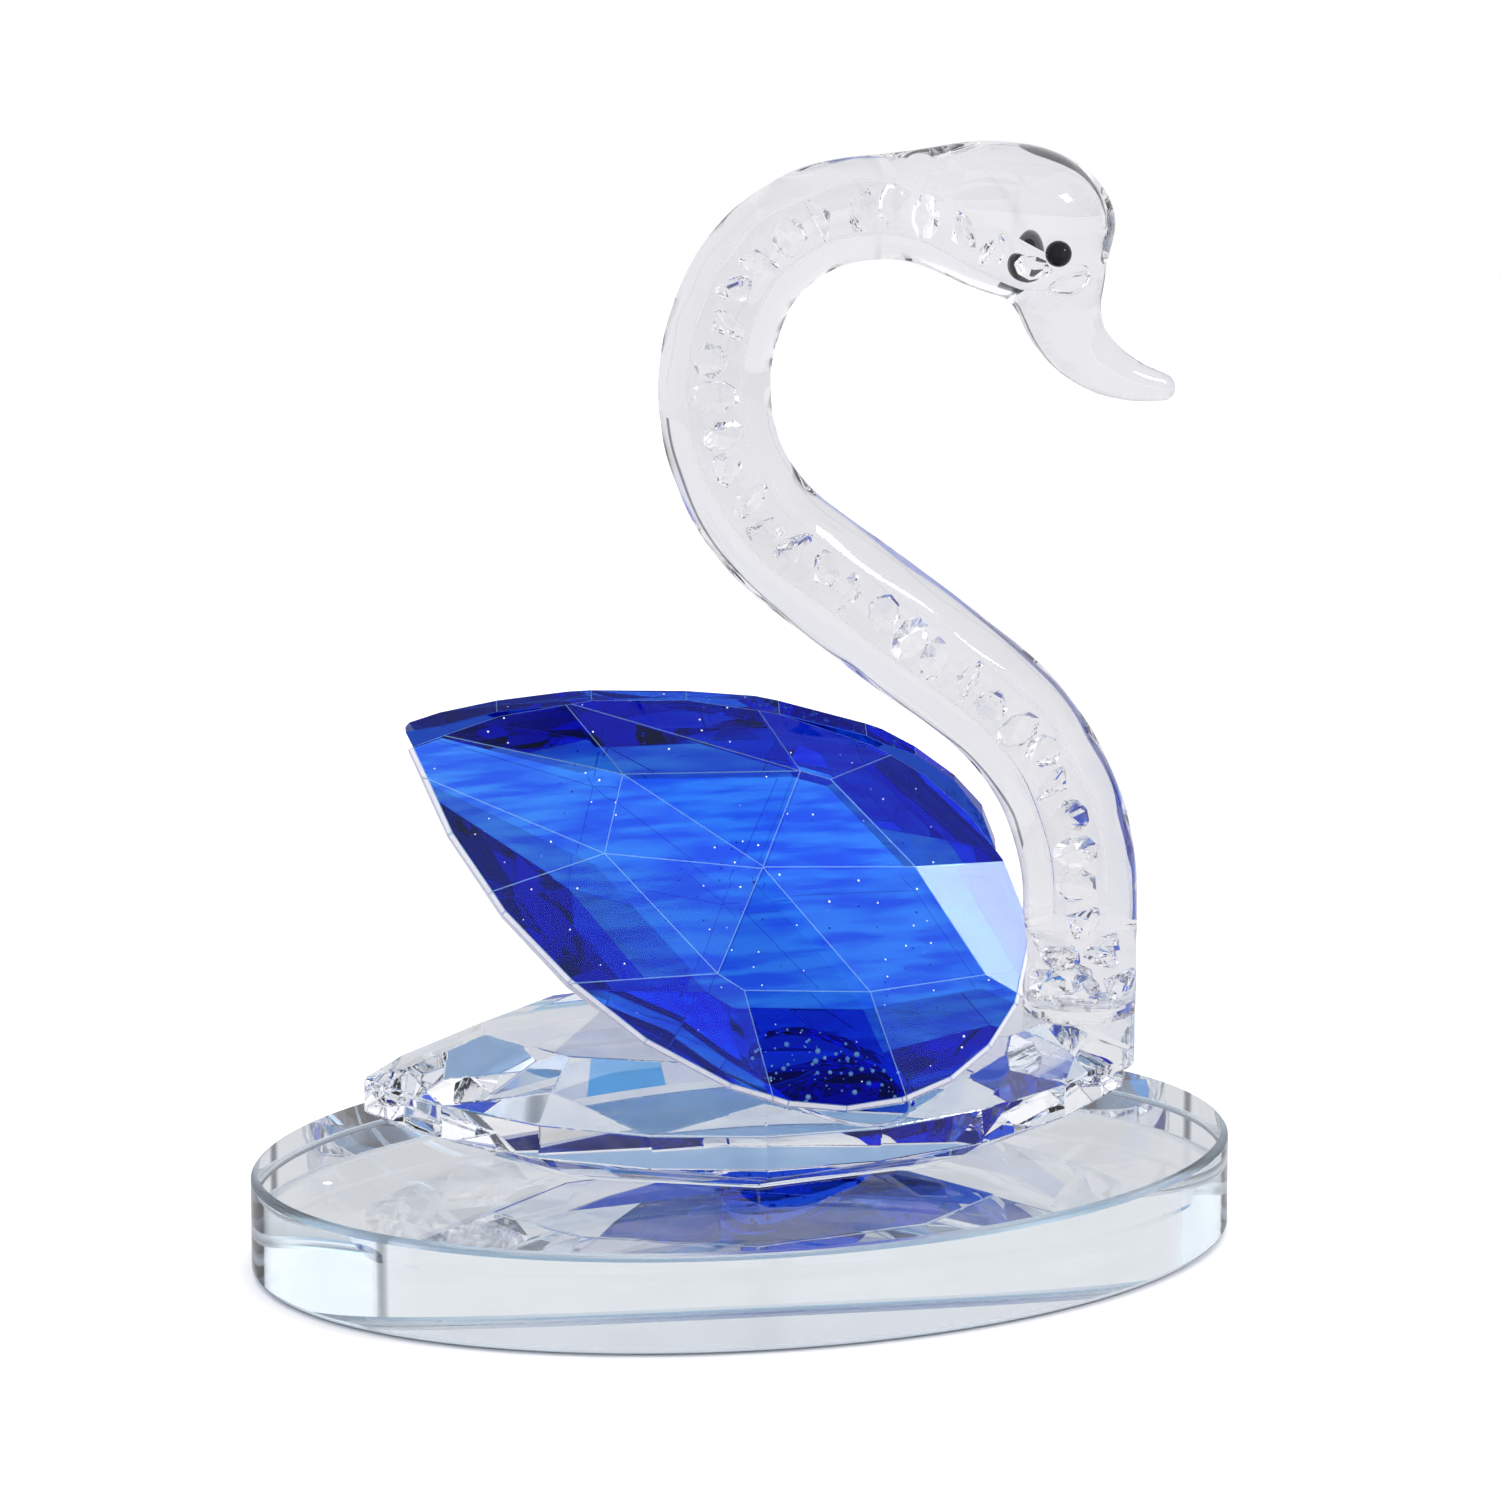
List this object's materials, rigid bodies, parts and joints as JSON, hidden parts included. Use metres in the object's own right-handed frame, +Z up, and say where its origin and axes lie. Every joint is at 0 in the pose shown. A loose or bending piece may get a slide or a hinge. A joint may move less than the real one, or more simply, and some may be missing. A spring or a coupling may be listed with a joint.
{
  "type": "crystal swan figurine",
  "caption": "Glass swan on an oval plate: clear faceted body, blue faceted wings and a curved blown-glass neck filled with loose cut stones.",
  "frame": {"origin": "centre of the oval plate's underside", "axes": "+X along the plate's long axis towards the swan's head, +Y across it to the swan's left, +Z up"},
  "size_m": [0.1146, 0.0716, 0.1307],
  "materials": {
    "clear_crystal": "polished",
    "blue_crystal": "polished",
    "blown_glass": "fire polished",
    "stone_glass": "polished",
    "black_glass": "glossy",
    "clear_adhesive": "clear, set"
  },
  "bodies": {
    "root": {"base_plate": "clear_crystal", "beak": "blown_glass", "body_crystal": "clear_crystal", "body_glue": "clear_adhesive", "eye_left": "black_glass", "eye_right": "black_glass", "foot_plug": "clear_adhesive", "foot_stone_01": "stone_glass", "foot_stone_02": "stone_glass", "foot_stone_03": "stone_glass", "foot_stone_04": "stone_glass", "foot_stone_05": "stone_glass", "foot_stone_06": "stone_glass", "foot_stone_07": "stone_glass", "foot_stone_08": "stone_glass", "head": "blown_glass", "neck_glue": "clear_adhesive", "neck_stone_01": "stone_glass", "neck_stone_02": "stone_glass", "neck_stone_03": "stone_glass", "neck_stone_04": "stone_glass", "neck_stone_05": "stone_glass", "neck_stone_06": "stone_glass", "neck_stone_07": "stone_glass", "neck_stone_08": "stone_glass", "neck_stone_09": "stone_glass", "neck_stone_10": "stone_glass", "neck_stone_11": "stone_glass", "neck_stone_12": "stone_glass", "neck_stone_13": "stone_glass", "neck_stone_14": "stone_glass", "neck_stone_15": "stone_glass", "neck_stone_16": "stone_glass", "neck_stone_17": "stone_glass", "neck_stone_18": "stone_glass", "neck_stone_19": "stone_glass", "neck_stone_20": "stone_glass", "neck_stone_21": "stone_glass", "neck_stone_22": "stone_glass", "neck_stone_23": "stone_glass", "neck_stone_24": "stone_glass", "neck_stone_25": "stone_glass", "neck_stone_26": "stone_glass", "neck_stone_27": "stone_glass", "neck_stone_28": "stone_glass", "neck_stone_29": "stone_glass", "neck_stone_30": "stone_glass", "neck_stone_31": "stone_glass", "neck_stone_32": "stone_glass", "neck_stone_33": "stone_glass", "neck_tube": "blown_glass", "wing_glue_left": "clear_adhesive", "wing_glue_right": "clear_adhesive", "wing_left": "blue_crystal", "wing_right": "blue_crystal"}
  },
  "joints": []
}
